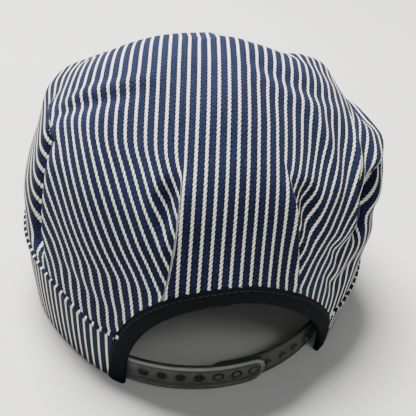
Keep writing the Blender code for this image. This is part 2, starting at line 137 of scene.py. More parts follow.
# Cloth pattern, all measured across and along the stripes
STRIPE_PITCH = 0.00505
STRIPE_HALF_WIDTH = 0.00088
ROPE_REPEAT = 0.0023
ROPE_LEAN = 0.50
TWILL_PITCH = 0.0012
THREAD_WIDTH = 0.00075
THREAD_LENGTH = 0.0011
TAPE_RIB_PITCH = 0.0011
TAPE_RIB_TURN = 0.0025
PATTERN_ANCHOR = -12.0

# Names of the shader nodes used most, and the colour that several mix with
MATHS = "ShaderNodeMath"
SPREAD = "ShaderNodeMapRange"
BLEND = "ShaderNodeMix"
NOISE = "ShaderNodeTexNoise"
SHADER = "ShaderNodeBsdfPrincipled"
OUTPUT = "ShaderNodeOutputMaterial"
BLACK = (0.0, 0.0, 0.0, 1.0)

ROUND = {
    "angle": (-180, -135, -90, -60, -40, 0, 40, 60, 90, 135),
    "rim": (0.975, 0.985, 0.985, 0.965, 0.985, 0.995, 1.010, 1.030, 1.030, 1.000),
    "seam": (1.000, 1.000, 1.000, 0.980, 0.992, 0.990, 1.025, 1.050, 1.055, 1.020),
    "height": (1.000, 0.960, 0.860, 0.770, 0.650, 0.600, 0.550, 0.660, 0.800, 0.950),
}

SECTIONS = {
    "down": (0.00, 0.12, 0.25, 0.38, 0.50, 0.62, 0.74, 0.86, 1.00),
    "back": (0.000, 0.168, 0.340, 0.497, 0.632, 0.755, 0.849, 0.918, 1.000),
    "left": (0.000, 0.210, 0.423, 0.617, 0.770, 0.868, 0.928, 0.970, 1.000),
    "right": (0.000, 0.217, 0.442, 0.630, 0.790, 0.950, 1.032, 1.024, 1.000),
    "front": (0.000, 0.200, 0.400, 0.590, 0.750, 0.870, 0.955, 1.010, 1.000),
    "rise_back": (1.000, 0.985, 0.923, 0.829, 0.702, 0.567, 0.405, 0.220, 0.000),
    "rise_side": (1.000, 0.987, 0.930, 0.835, 0.710, 0.565, 0.390, 0.210, 0.000),
    "rise_front": (1.000, 0.952, 0.853, 0.750, 0.630, 0.500, 0.355, 0.190, 0.000),
    "square": (2.0, 2.0, 2.0, 2.1, 2.3, 2.4, 2.3, 2.1, 2.0),
}

# Folds: kind is valley for a crease and step for an overlapped edge, which is high
# on the side of the lip's sign. run is the way the fold goes, and each end is an
# angle and a share of the way down the crown. bow bends the path between them,
# reach and depth count in FOLD_REACH and FOLD_DEPTH, and a fold fades over a share
# of its length at each end.
FOLDS = (
    # kind, run, angle, down, angle, down, bow, reach, depth, lip, fade_in, fade_out
    ("step", "down", -21, 0.54, -22, 1.02, 1.5, 0.50, 0.50, 1, 0.30, 0.12),
    ("valley", "down", -26, 0.56, -24, 0.84, 0, 0.45, 0.50, 0.10, 0.35, 0.55),
    ("valley", "down", -25, 0.32, -21, 0.62, 0, 0.45, 0.12, 0.20, 0.40, 0.30),
    ("step", "down", 20, 0.58, 19, 1.02, 0, 0.45, 0.50, -1, 0.30, 0.12),
    ("valley", "down", 27, 0.58, 24, 0.86, 0, 0.50, 0.52, -0.10, 0.35, 0.55),
    ("valley", "down", -85, 0.55, -75, 0.98, 3, 0.65, 1.70, 0.06, 0.20, 0.20),
    ("step", "down", -82, 0.53, -70, 0.96, 4, 0.55, 0.80, 1, 0.15, 0.30),
    ("valley", "down", 78, 0.46, 50, 0.84, -9, 0.55, 0.50, -0.10, 0.50, 0.35),
    ("step", "down", 77, 0.46, 45, 0.72, -9, 0.55, 0.60, -1, 0.35, 0.25),
    ("step", "round", 48, 0.66, 98, 0.61, 0, 0.90, 0.90, -1, 0.20, 0.50),
    ("valley", "down", 62, 0.61, 50, 0.80, 0, 0.65, 1.00, 0, 0.30, 0.35),
    ("valley", "round", 43, 0.73, 70, 0.82, 0, 0.60, 0.25, 0.50, 0.30, 0.30),
    ("valley", "round", -44, 0.31, -90, 0.56, -0.05, 0.60, 0.15, -0.90, 0.60, 0.20),
    ("step", "round", -70, 0.58, -100, 0.545, 0, 0.60, 0.70, -1, 0.35, 0.25),
    ("valley", "down", 47, 0.12, 75, 0.47, -6, 0.70, 0.14, -0.60, 0.40, 0.30),
    ("valley", "down", 52, 0.33, 31, 0.70, 4, 0.50, -0.16, 0.60, 0.35, 0.35),
    ("valley", "round", 30, 0.80, 56, 0.74, 0, 0.50, 0.20, -0.30, 0.30, 0.30),
    ("valley", "round", 30, 0.90, 54, 0.87, 0, 0.45, 0.18, -0.30, 0.30, 0.30),
    ("valley", "round", -66, 0.90, -30, 0.94, 0, 0.45, 0.10, -0.30, 0.30, 0.30),
    ("valley", "round", 168, 0.19, 76, 0.28, 0.03, 2.40, 0.70, 0, 0.45, 0.30),
    ("valley", "round", -152, 0.33, -110, 0.39, 0, 1.20, 0.20, 0, 0.35, 0.35),
    ("valley", "round", -134, 0.53, -98, 0.57, 0, 1.10, -0.32, 0, 0.35, 0.35),
    ("valley", "down", 98, 0.22, 99, 0.52, 0, 1.10, -0.56, 0, 0.40, 0.40),
    ("valley", "round", 114, 0.55, 72, 0.56, 0, 0.80, 0.42, 0, 0.30, 0.30),
    ("valley", "round", 102, 0.64, 68, 0.68, 0, 1.00, -0.28, 0, 0.30, 0.30),
    ("valley", "round", -124, 0.83, -80, 0.86, 0, 1.40, -0.25, 0, 0.30, 0.30),
    ("valley", "down", -126, 0.52, -122, 0.98, 0, 0.85, 0.70, 0.10, 0.40, 0.15),
    ("valley", "down", 126, 0.52, 122, 0.98, 0, 0.85, 0.70, -0.10, 0.40, 0.15),
    ("valley", "down", -160, 0.58, -158, 0.98, 0, 0.75, 0.55, 0.10, 0.40, 0.15),
    ("valley", "down", 160, 0.58, 158, 0.98, 0, 0.75, 0.55, -0.10, 0.40, 0.15),
)

# Cloth taken up by the pleats: the wedge is the angle between the cloth's
# stripes on the two sides of the pleat, from its tip downwards.
PLEATS = {
    "tip_angle": (-21, 20, -126, 126, -160, 160),
    "tip_down": (0.55, 0.57, 0.52, 0.52, 0.58, 0.58),
    "end_angle": (-22, 19, -122, 122, -158, 158),
    "bow": (1.5, 0, 0, 0, 0, 0),
    "wedge": (28, 30, 24, 24, 20, 20),
    "width": (1.2, 1.2, 4, 4, 4, 4),
}

# Rounding of the corner where a pleat begins
PLEAT_SOFTNESS = 0.06

# Where the cloth's pattern, laid out from the back, meets the one from the front
MEET_ANGLE = 128.0
MEET_SPREAD = 40.0


def smooth_curve(knots, values, at):
    """Piecewise cubic through the knots whose slopes never overshoot."""
    knots = np.asarray(knots, float)
    values = np.asarray(values, float)
    step = np.diff(knots)
    slope = np.diff(values) / step
    inner = np.zeros(len(knots))
    same = slope[:-1] * slope[1:] > 0
    w0 = 2 * step[1:] + step[:-1]
    w1 = step[1:] + 2 * step[:-1]
    safe_0 = np.where(same, slope[:-1], 1.0)
    safe_1 = np.where(same, slope[1:], 1.0)
    inner[1:-1] = np.where(same, (w0 + w1) / (w0 / safe_0 + w1 / safe_1), 0.0)
    inner[0] = slope[0]
    inner[-1] = slope[-1]
    at = np.clip(at, knots[0], knots[-1])
    i = np.clip(np.searchsorted(knots, at, side="right") - 1, 0, len(step) - 1)
    t = (at - knots[i]) / step[i]
    h00 = (1 + 2 * t) * (1 - t) ** 2
    h01 = t * t * (3 - 2 * t)
    h10 = t * (1 - t) ** 2
    h11 = t * t * (t - 1)
    return (h00 * values[i] + h01 * values[i + 1]
            + step[i] * (h10 * inner[i] + h11 * inner[i + 1]))


def ramp(t):
    """Smooth step from 0 to 1 as t goes from 0 to 1."""
    t = np.clip(t, 0.0, 1.0)
    return t * t * (3 - 2 * t)


def wrap(angle):
    """The same angle in degrees between -180 and 180."""
    return (angle + 180.0) % 360.0 - 180.0


def round_value(column, angle):
    """A column of ROUND at an angle in degrees, closed round the cap."""
    knots = np.array(ROUND["angle"], float)
    knots = np.concatenate([knots - 360, knots, knots + 360])
    return smooth_curve(knots, np.tile(ROUND[column], 3), wrap(angle))


def rim_radius(angle):
    return RIM_RADIUS * round_value("rim", angle)


def seam_radius(angle):
    return SEAM_RADIUS * round_value("seam", angle)


def rim_height(angle):
    return FRONT_LIFT * ramp((np.abs(wrap(angle)) - LIFT_START_ANGLE) / LIFT_SPAN_ANGLE)


def band_top(angle):
    return BAND_HEIGHT * round_value("height", angle)


def arch_height(along, grow):
    """Height of the opening's edge: a rounded arch with its own width each side."""
    offset = along - ARCH_SHIFT
    left = offset < 0
    half = np.where(left, OPENING_LEFT + ARCH_SHIFT, OPENING_RIGHT - ARCH_SHIFT) + grow
    power = np.where(left, ARCH_SQUARE_LEFT, ARCH_SQUARE_RIGHT)
    share = np.clip(np.abs(offset) / half, 0.0, 1.0)
    return (ARCH_HEIGHT + grow) * (1 - share ** power) ** (1 / power)


def seam_height(angle):
    """Lowest cloth that shows: the binding's outer edge, else the top of the band."""
    along = np.radians(wrap(angle)) * SEAM_RADIUS
    return np.maximum(band_top(angle) + GAP / 2, arch_height(along, BINDING_WIDTH))


def soft_seam_height(angle):
    """The seam's height averaged over a few degrees, which rounds the arch's corners."""
    offsets = np.linspace(-14.0, 14.0, 15)
    weights = 1.0 + np.cos(np.pi * offsets / 16.0)
    heights = seam_height(np.asarray(angle, float)[..., None] + offsets)
    return (heights * weights).sum(axis=-1) / weights.sum()


def lowest_share(angle):
    """Share down at which the cloth ends, past 1 where it runs on under the binding."""
    along = np.radians(wrap(angle)) * SEAM_RADIUS
    cut = np.maximum(band_top(angle) + GAP / 2, arch_height(along, CLOTH_SETBACK))
    return 1.0 + (seam_height(angle) - cut) / CROWN_LENGTH


def section(column, down):
    """A column of SECTIONS at a share of the way down."""
    return smooth_curve(SECTIONS["down"], SECTIONS[column], down)


def plain_crown(angle, down, low=None):
    """Crown without folds: rounded-square rings between the top and the seam.

    In each ring the radius r solves |cos/back|^n + |sin/side|^n = 1/r^n, and
    the height falls from the top to the seam by the ring's share of the rise.
    The radius is that of a softened seam at the same height, so the wall has no
    step where the arch ends. Past the seam the cloth goes straight down. low
    is the height at which the rings end, if that is not the seam.
    """
    past = np.maximum(down - 1.0, 0.0)
    down = np.minimum(down, 1.0)
    low = seam_height(angle) if low is None else low
    z = low + (CROWN_TOP - low) * section("rise_back", down) - past * CROWN_LENGTH
    soft = soft_seam_height(angle)
    shares = np.linspace(1.0, 0.0, 400)
    soft_down = np.interp((z - soft) / (CROWN_TOP - soft), section("rise_back", shares), shares)
    place = down
    down = np.where(past > 0, 1.0, soft_down)
    a = np.radians(angle)
    c = np.cos(a)
    s = np.sin(a)
    along = np.where(c > 0, section("back", down), section("front", down))
    across = np.where(s > 0, section("right", down), section("left", down))
    n = section("square", down)
    tiny = 1e-9
    total = (np.abs(c) / (along + tiny)) ** n + (np.abs(s) / (across + tiny)) ** n
    radius = seam_radius(angle) * total ** (-1 / n)
    side = section("rise_side", place)
    end = np.where(c > 0, section("rise_back", place), section("rise_front", place))
    rise = end * c * c + side * s * s
    z = low + (CROWN_TOP - low) * rise - past * CROWN_LENGTH
    x = TOP_SHIFT_X * (1 - place) + radius * s
    y = TOP_SHIFT_Y * (1 - place) - radius * c
    return np.stack([x, y, z], axis=-1)


def crown_normal(angle, down):
    """Outward unit normal of the plain crown, from small steps along it."""
    step = 1e-3
    low = np.clip(down - step, 0.02, 1.0 - 2 * step)
    high = low + 2 * step
    middle = (low + high) / 2
    around = plain_crown(angle + 0.2, middle) - plain_crown(angle - 0.2, middle)
    along = plain_crown(angle, high) - plain_crown(angle, low)
    return unit(np.cross(along, around))


def unit(vectors):
    return vectors / np.maximum(np.linalg.norm(vectors, axis=-1, keepdims=True), 1e-12)


def run_along(line):
    """Distance from the first point of a line to each of its points."""
    return np.concatenate([[0.0], np.cumsum(np.linalg.norm(np.diff(line, axis=0), axis=-1))])


def fold_depth(angle, down):
    """Distance that the folds move the cloth outwards.

    Across its path a valley is a bell curve, with a raised bell beside it where
    it has a lip. A step rises within a fraction of its reach and dies away on
    both sides. Along its path a fold fades in and out.
    """
    total = np.zeros(np.broadcast(angle, down).shape)
    arc = SEAM_RADIUS * np.radians(1.0)
    for kind, run, a0, d0, a1, d1, bow, reach, depth, lip, fade_in, fade_out in FOLDS:
        if run == "down":
            t = (down - d0) / (d1 - d0)
            bend = 4 * t * (1 - t) * bow
            away = wrap(angle - (a0 + (a1 - a0) * t + bend)) * arc * np.sqrt(down)
        else:
            t = wrap(angle - a0) / (a1 - a0)
            bend = 4 * t * (1 - t) * bow
            away = (down - (d0 + (d1 - d0) * t + bend)) * CROWN_TOP
        x = away / (reach * FOLD_REACH)
        if kind == "valley":
            raised = np.exp(-((x - np.sign(lip) * LIP_OFFSET) / LIP_REACH) ** 2)
            shape = np.abs(lip) * raised - np.exp(-x * x)
        else:
            shape = np.tanh(x * lip * STEP_SHARPNESS) * np.exp(-np.abs(x)) * 0.5
        total = total + shape * depth * FOLD_DEPTH * ramp(t / fade_in) * ramp((1 - t) / fade_out)
    return total * ramp(down / FOLD_FREE_TOP) * ramp((1.03 - down) / FOLD_FREE_SEAM)


def crown_surface(angle, down, inwards):
    """Folded crown, set inwards from its outer face along the plain normal."""
    out = fold_depth(angle, down) - inwards
    return plain_crown(angle, down) + crown_normal(angle, down) * out[..., None]


def pleat_turn(angle, down, height):
    """Angle in the cloth that the pleats take away between the anchor and here.

    Each grows smoothly from its tip, as the rounded corner sqrt(x^2 + soft^2) + x,
    and by the height of the point rather than by its own share down.
    """
    total = np.zeros(np.broadcast(angle, down).shape)
    shares = np.linspace(1.0, 0.0, 400)
    for tip_angle, tip_down, end_angle, bow, wedge, width in zip(*PLEATS.values()):
        t = (down - tip_down) / (1 - tip_down)
        path = tip_angle + (end_angle - tip_angle) * t + 4 * t * (1 - t) * bow
        past = ramp((angle - path) / width + 0.5)
        low = seam_height(tip_angle)
        level = np.interp((height - low) / (CROWN_TOP - low), section("rise_back", shares), shares)
        x = (level - tip_down) / np.maximum(level, 0.05)
        opened = (np.sqrt(x * x + PLEAT_SOFTNESS ** 2) + x) / 2
        amount = np.radians(wedge) * opened * ramp(level / tip_down)
        total += amount * (past if tip_angle > PATTERN_ANCHOR else past - 1.0)
    return total


def distance_down(points):
    """Length of each column of points from the top centre of the crown."""
    first = np.linalg.norm(points[:1] - points[0].mean(axis=0), axis=-1)
    legs = np.linalg.norm(np.diff(points, axis=0), axis=-1)
    return np.concatenate([first, first + np.cumsum(legs, axis=0)])


def cloth_coordinates(angles, downs, heights, folded):
    """Distance across and along the stripes for each point of the crown.

    The cloth is laid out in polar form about the top centre: its radius is the
    distance down the crown, and its angle is the distance round each ring over
    that radius, counted from the back on the back half and from the front on
    the front half. The two blend into each other at the sides. The rings are
    those of a crown that goes down to the band all round, as the opening is cut
    out of the cloth, and each point is looked up in them by its height. The
    distance along the stripes follows the folds, so the yarns keep their twist.
    """
    rings = plain_crown(angles, np.linspace(0.01, 1.15, 140)[:, None], band_top(angles))
    radius = distance_down(rings)
    down_line = unit(np.gradient(rings, axis=0))
    around = np.roll(rings, -1, axis=1) - rings
    line = unit(down_line + np.roll(down_line, -1, axis=1))
    slip = (around * line).sum(axis=-1)
    width = np.sqrt(np.maximum((around ** 2).sum(axis=-1) - slip ** 2, 0.0))
    turn = width / ((radius + np.roll(radius, -1, axis=1)) / 2)
    swept = np.concatenate([np.zeros((len(rings), 1)), np.cumsum(turn, axis=1)[:, :-1]], axis=1)
    anchor = np.argmin(np.abs(angles - PATTERN_ANCHOR))
    opposite = np.argmin(np.abs(angles - PATTERN_ANCHOR - 180.0))
    left = angles < PATTERN_ANCHOR
    back = swept - swept[:, anchor:anchor + 1]
    whole = turn.sum(axis=1)[:, None]
    front = swept - swept[:, opposite:opposite + 1] + np.where(left, whole - np.pi, np.pi)
    look_up = [[np.interp(-heights[:, i], -rings[:, i, 2], table[:, i])
                for i in range(len(angles))] for table in (radius, back, front)]
    radius, back, front = (np.transpose(found) for found in look_up)
    pleats = pleat_turn(angles, downs, heights)
    back = back + pleats - pleats[:, anchor:anchor + 1]
    front = front + pleats - pleats[:, opposite:opposite + 1]
    front = front + left * (pleats[:, -1:] - pleats[:, :1])
    share = ramp((np.abs(angles) - MEET_ANGLE) / MEET_SPREAD + 0.5)
    turned = back * (1 - share) + front * share
    return radius * np.sin(turned), distance_down(folded) * np.cos(turned)


def band_radius(angle, height):
    """Outer radius of the band, which leans out from the rim to the seam."""
    share = height / band_top(angle)
    return rim_radius(angle) * (1 - share) + seam_radius(angle) * share


def polar(angle, radius, height):
    """Points from angles in degrees round the cap, radii and heights."""
    a = np.radians(angle)
    return np.stack([radius * np.sin(a), -radius * np.cos(a), height], axis=-1)


def offset_to_frame():
    """How far the model moved these functions' own origin, from the band's box."""
    left = -(OPENING_LEFT + CLOTH_SETBACK) / SEAM_RADIUS
    right = (OPENING_RIGHT + CLOTH_SETBACK) / SEAM_RADIUS
    angles = np.linspace(np.degrees(right) - 360.0, np.degrees(left), 2000)
    own = polar(angles, seam_radius(angles), 0.0 * angles)
    low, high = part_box("band")
    middle = (own[:, 0].min() + own[:, 0].max()) / 2
    return np.array([(low.x + high.x) / 2 - middle, high.y - own[:, 1].max(), 0.0])


OFFSET = offset_to_frame()


def linear(hex_colour):
    """Linear colour from an sRGB hex value such as 2B3A6B."""
    parts = [int(hex_colour[i:i + 2], 16) / 255 for i in (0, 2, 4)]
    lit = [p / 12.92 if p <= 0.04045 else ((p + 0.055) / 1.055) ** 2.4 for p in parts]
    return (*lit, 1.0)


def add(tree, kind, inputs=None, out=0, **settings):
    """One node with its settings, each input linked or set; returns one of its outputs."""
    node = tree.nodes.new(kind)
    for name, value in settings.items():
        setattr(node, name, value)
    for key, value in (inputs or {}).items():
        if isinstance(value, bpy.types.NodeSocket):
            tree.links.new(value, node.inputs[key])
        else:
            node.inputs[key].default_value = value
    return node.outputs[out] if len(node.outputs) else node


def new_material(name):
    material = bpy.data.materials.new(name)
    material.use_nodes = True
    material.node_tree.nodes.clear()
    return material, material.node_tree


def rope_stripe_cotton(name, ground_dark, ground_light, rope_painted_lit, rope_painted_shade):
    """Hickory-stripe cotton: indigo twill with a thick, twisted white yarn.

    The white yarns are two plies that cross in slanting lens shapes, so each
    stripe looks like a fine rope with scalloped edges. Its colour goes from a
    painted shade between the plies and at its edges to a painted lit white on
    each ply, and a painted shadow line darkens the ground beside it. The ground
    is a steep twill of dyed and paler threads, which gives the eye fine flecks.
    The surface is dry and scatters light.
    """
    material, tree = new_material(name)
    uv = add(tree, "ShaderNodeUVMap", uv_map="cloth")
    across = add(tree, "ShaderNodeSeparateXYZ", {0: uv})
    along = across.node.outputs[1]
    wander = add(tree, NOISE, {"Vector": uv, "Scale": 60.0, "Detail": 2.0})

    # Distance from the middle of the nearest white yarn
    cell = add(tree, MATHS, {0: across, 1: 1 / STRIPE_PITCH, 2: 0.5}, operation="MULTIPLY_ADD")
    cell = add(tree, MATHS, {0: cell}, operation="FRACT")
    off = add(tree, MATHS, {0: cell, 1: STRIPE_PITCH, 2: -STRIPE_PITCH / 2},
              operation="MULTIPLY_ADD")
    size = add(tree, MATHS, {0: off}, operation="ABSOLUTE")

    # Plies follow one another along the yarn and lean across it: 0 between two, 0.5 on one
    turn = add(tree, MATHS, {0: along, 1: 1 / ROPE_REPEAT}, operation="MULTIPLY")
    turn = add(tree, MATHS, {0: wander, 1: 1.6, 2: turn}, operation="MULTIPLY_ADD")
    turn = add(tree, MATHS, {0: off, 1: ROPE_LEAN / STRIPE_HALF_WIDTH, 2: turn},
               operation="MULTIPLY_ADD")
    strand = add(tree, MATHS, {0: turn, 1: 0.5}, operation="PINGPONG")
    half = add(tree, MATHS,
               {0: strand, 1: STRIPE_HALF_WIDTH * 0.80, 2: STRIPE_HALF_WIDTH * 0.72},
               operation="MULTIPLY_ADD")
    edge = add(tree, MATHS, {0: half, 1: size}, operation="SUBTRACT")
    mask = add(tree, SPREAD, {0: edge, 1: -0.00008, 2: 0.00016, 3: 0.0, 4: 1.0},
               interpolation_type="SMOOTHSTEP")
    # Painted shadow: the ground darkens towards black beside each white yarn, as the shade the
    # yarn casts
    groove_shade = add(tree, SPREAD, {0: edge, 1: -0.00075, 2: -0.00005, 3: 1.0, 4: 0.30},
                 interpolation_type="SMOOTHSTEP")
    ply = add(tree, SPREAD, {0: strand, 1: 0.01, 2: 0.24, 3: 0.0, 4: 1.0},
              interpolation_type="SMOOTHSTEP")
    # Painted shade: each ply's colour falls towards the shaded colour near the rope's edges, as on
    # a round yarn; the same mask also shapes the bump
    roundness = add(tree, MATHS, {0: size, 1: half}, operation="DIVIDE")
    roundness = add(tree, SPREAD, {0: roundness, 1: 0.35, 2: 1.0, 3: 1.0, 4: 0.30},
                    interpolation_type="SMOOTHSTEP")
    ply = add(tree, MATHS, {0: ply, 1: roundness}, operation="MULTIPLY")

    # Twill ground: slanting ribs broken into single threads, paler in clouds
    twill = add(tree, MATHS, {0: across, 1: 1.6, 2: along}, operation="MULTIPLY_ADD")
    twill = add(tree, MATHS, {0: twill, 1: 1 / TWILL_PITCH}, operation="MULTIPLY")
    twill = add(tree, MATHS, {0: twill, 1: 0.5}, operation="PINGPONG")
    twill = add(tree, MATHS, {0: twill, 1: 0.5}, operation="ADD")
    threads = add(tree, "ShaderNodeVectorMath",
                  {0: uv, 1: (1 / THREAD_WIDTH, 1 / THREAD_LENGTH, 1.0)}, operation="MULTIPLY")
    fleck = add(tree, NOISE, {"Vector": threads, "Scale": 1.0, "Detail": 1.0})
    fleck = add(tree, SPREAD, {0: fleck, 1: 0.46, 2: 0.68, 3: 0.0, 4: 1.0})
    cloud = add(tree, NOISE, {"Vector": uv, "Scale": 38.0, "Detail": 3.0})
    cloud = add(tree, SPREAD, {0: cloud, 1: 0.3, 2: 0.7, 3: 0.02, 4: 0.22})
    pale = add(tree, MATHS, {0: twill, 1: fleck, 2: cloud}, operation="MULTIPLY_ADD")
    ground = add(tree, BLEND, {0: pale, 6: linear(ground_dark), 7: linear(ground_light)}, 2,
                 data_type="RGBA")
    # The painted shadow beside the yarns is mixed into the ground colour here
    ground = add(tree, BLEND, {0: groove_shade, 6: BLACK, 7: ground}, 2, data_type="RGBA")

    # Rope colour: painted shade between the plies and at the edges, painted lit white on each ply
    rope = add(tree, BLEND, {0: ply, 6: linear(rope_painted_shade), 7: linear(rope_painted_lit)}, 2,
               data_type="RGBA")
    colour = add(tree, BLEND, {0: mask, 6: ground, 7: rope}, 2, data_type="RGBA")
    height = add(tree, MATHS, {0: ply, 1: 0.7, 2: 0.3}, operation="MULTIPLY_ADD")
    height = add(tree, MATHS, {0: height, 1: mask}, operation="MULTIPLY")
    height = add(tree, MATHS, {0: fleck, 1: 0.10, 2: height}, operation="MULTIPLY_ADD")
    bump = add(tree, "ShaderNodeBump", {"Height": height, "Strength": 0.8, "Distance": 0.0005})
    shader = add(tree, SHADER, {
        "Base Color": colour, "Roughness": 0.92, "Normal": bump,
        "Sheen Weight": 0.03, "Sheen Roughness": 0.45, "Specular IOR Level": 0.15})
    add(tree, OUTPUT, {"Surface": shader})
    return material


def black_cotton_tape(name, dark, light):
    """Woven cotton tape, dyed black: slanting ribs across it and a dusty, matt surface."""
    material, tree = new_material(name)
    uv = add(tree, "ShaderNodeUVMap", uv_map="cloth")
    run = add(tree, "ShaderNodeSeparateXYZ", {0: uv})
    rib = add(tree, MATHS, {0: run.node.outputs[1], 1: TAPE_RIB_TURN}, operation="PINGPONG")
    rib = add(tree, MATHS, {0: run, 1: rib}, operation="ADD")
    rib = add(tree, MATHS, {0: rib, 1: 1 / TAPE_RIB_PITCH}, operation="MULTIPLY")
    rib = add(tree, MATHS, {0: rib, 1: 0.5}, operation="PINGPONG")
    dust = add(tree, NOISE, {"Vector": uv, "Scale": 900.0, "Detail": 3.0})
    tone = add(tree, MATHS, {0: rib, 1: dust}, operation="MULTIPLY")
    tone = add(tree, MATHS, {0: tone, 1: 2.6}, operation="MULTIPLY")
    colour = add(tree, BLEND, {0: tone, 6: linear(dark), 7: linear(light)}, 2, data_type="RGBA")
    bump = add(tree, "ShaderNodeBump", {"Height": rib, "Strength": 1.0, "Distance": 0.0006})
    shader = add(tree, SHADER, {
        "Base Color": colour, "Roughness": 0.9, "Normal": bump, "Specular IOR Level": 0.08})
    add(tree, OUTPUT, {"Surface": shader})
    return material


def moulded_plastic(name, dark, light):
    """Charcoal polyethylene from a lightly blasted mould: satin, with faint scuffs."""
    material, tree = new_material(name)
    place = add(tree, "ShaderNodeTexCoord", None, "Object")
    grain = add(tree, NOISE, {"Vector": place, "Scale": 2500.0, "Detail": 2.0})
    scuff = add(tree, NOISE, {"Vector": place, "Scale": 140.0, "Detail": 5.0})
    scuff = add(tree, SPREAD, {0: scuff, 1: 0.35, 2: 0.75, 3: 0.0, 4: 1.0})
    colour = add(tree, BLEND, {0: scuff, 6: linear(dark), 7: linear(light)}, 2, data_type="RGBA")
    rough = add(tree, SPREAD, {0: scuff, 1: 0.0, 2: 1.0, 3: 0.28, 4: 0.40})
    bump = add(tree, "ShaderNodeBump", {"Height": grain, "Strength": 0.25, "Distance": 0.0001})
    shader = add(tree, SHADER, {
        "Base Color": colour, "Roughness": rough, "Normal": bump, "IOR": 1.5})
    add(tree, OUTPUT, {"Surface": shader})
    return material


def cotton_thread(name, colour_hex):
    """Spun thread for stitches: matt, with a faint ply."""
    material, tree = new_material(name)
    place = add(tree, "ShaderNodeTexCoord", None, "Object")
    ply = add(tree, NOISE, {"Vector": place, "Scale": 1800.0, "Detail": 1.0})
    ply = add(tree, SPREAD, {0: ply, 1: 0.3, 2: 0.7, 3: 0.6, 4: 1.0})
    colour = add(tree, BLEND, {0: ply, 6: BLACK, 7: linear(colour_hex)}, 2, data_type="RGBA")
    shader = add(tree, SHADER, {"Base Color": colour, "Roughness": 0.85})
    add(tree, OUTPUT, {"Surface": shader})
    return material


def studio_paper(name, colour_hex):
    """Matt white paper of the studio floor, with the faintest mottling."""
    material, tree = new_material(name)
    place = add(tree, "ShaderNodeTexCoord", None, "Object")
    cloud = add(tree, NOISE, {"Vector": place, "Scale": 3.0, "Detail": 2.0})
    cloud = add(tree, SPREAD, {0: cloud, 1: 0.2, 2: 0.8, 3: 0.97, 4: 1.0})
    colour = add(tree, BLEND, {0: cloud, 6: BLACK, 7: linear(colour_hex)}, 2, data_type="RGBA")
    shader = add(tree, SHADER, {"Base Color": colour, "Roughness": 0.9})
    add(tree, OUTPUT, {"Surface": shader})
    return material


def make_piece(name, points, faces, material, uv=None, stands_for=()):
    """A piece from whole arrays of points, faces and cloth coordinates."""
    mesh = bpy.data.meshes.new(name)
    mesh.from_pydata((points + OFFSET).tolist(), [], [tuple(f) for f in faces])
    mesh.materials.append(material)
    mesh.shade_smooth()
    if uv is not None:
        corners = np.empty(len(mesh.loops), np.int32)
        mesh.loops.foreach_get("vertex_index", corners)
        layer = mesh.uv_layers.new(name="cloth")
        layer.data.foreach_set("uv", uv[corners].astype(np.float32).ravel())
    piece = bpy.data.objects.new(name, mesh)
    bpy.context.scene.collection.objects.link(piece)
    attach(piece, "root")
    if stands_for:
        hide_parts(*stands_for)
    return piece


def grid_faces(rows, columns, closed, start=0, flip=False):
    """Quads of a grid of points stored row by row."""
    last = columns if closed else columns - 1
    j, i = np.meshgrid(np.arange(rows - 1), np.arange(last), indexing="ij")
    k = (i + 1) % columns
    near = j * columns
    far = near + columns
    quads = np.stack([near + i, near + k, far + k, far + i], axis=-1).reshape(-1, 4) + start
    return quads[:, ::-1] if flip else quads


def swept_faces(steps, around):
    """Faces of a closed profile carried along a path, with both ends capped."""
    faces = grid_faces(steps, around, True).tolist()
    faces.append(list(range(around))[::-1])
    faces.append(list(range((steps - 1) * around, steps * around)))
    return faces


def make_swept(name, points, material, uv=None, stands_for=()):
    """A piece from a closed profile carried along a path, one row of points a step."""
    steps, around = points.shape[:2]
    points = points.reshape(-1, 3)
    faces = outward(points, swept_faces(steps, around))
    uv = None if uv is None else uv.reshape(-1, 2)
    make_piece(name, points, faces, material, uv, stands_for)


def outward(points, faces):
    """The same faces, all turned round if together they enclose a negative volume."""
    volume = 0.0
    for face in faces[:: max(1, len(faces) // 4000)]:
        a, b, c = points[face[0]], points[face[1]], points[face[2]]
        volume += np.dot(a - points.mean(axis=0), np.cross(b - a, c - a))
    return faces if volume > 0 else [list(f)[::-1] for f in faces]


def crown_columns():
    """Angles of the crown's columns, closest together at the pleats that show."""
    parts = (np.arange(-180, -100, 2.0), np.arange(-100, -60, 0.5), np.arange(-60, -26, 0.85),
             np.arange(-26, -17, 0.3), np.arange(-17, 15, 0.8), np.arange(15, 24, 0.3),
             np.arange(24, 40, 0.8), np.arange(40, 96, 0.5), np.arange(96, 180, 2.0))
    return np.concatenate(parts)


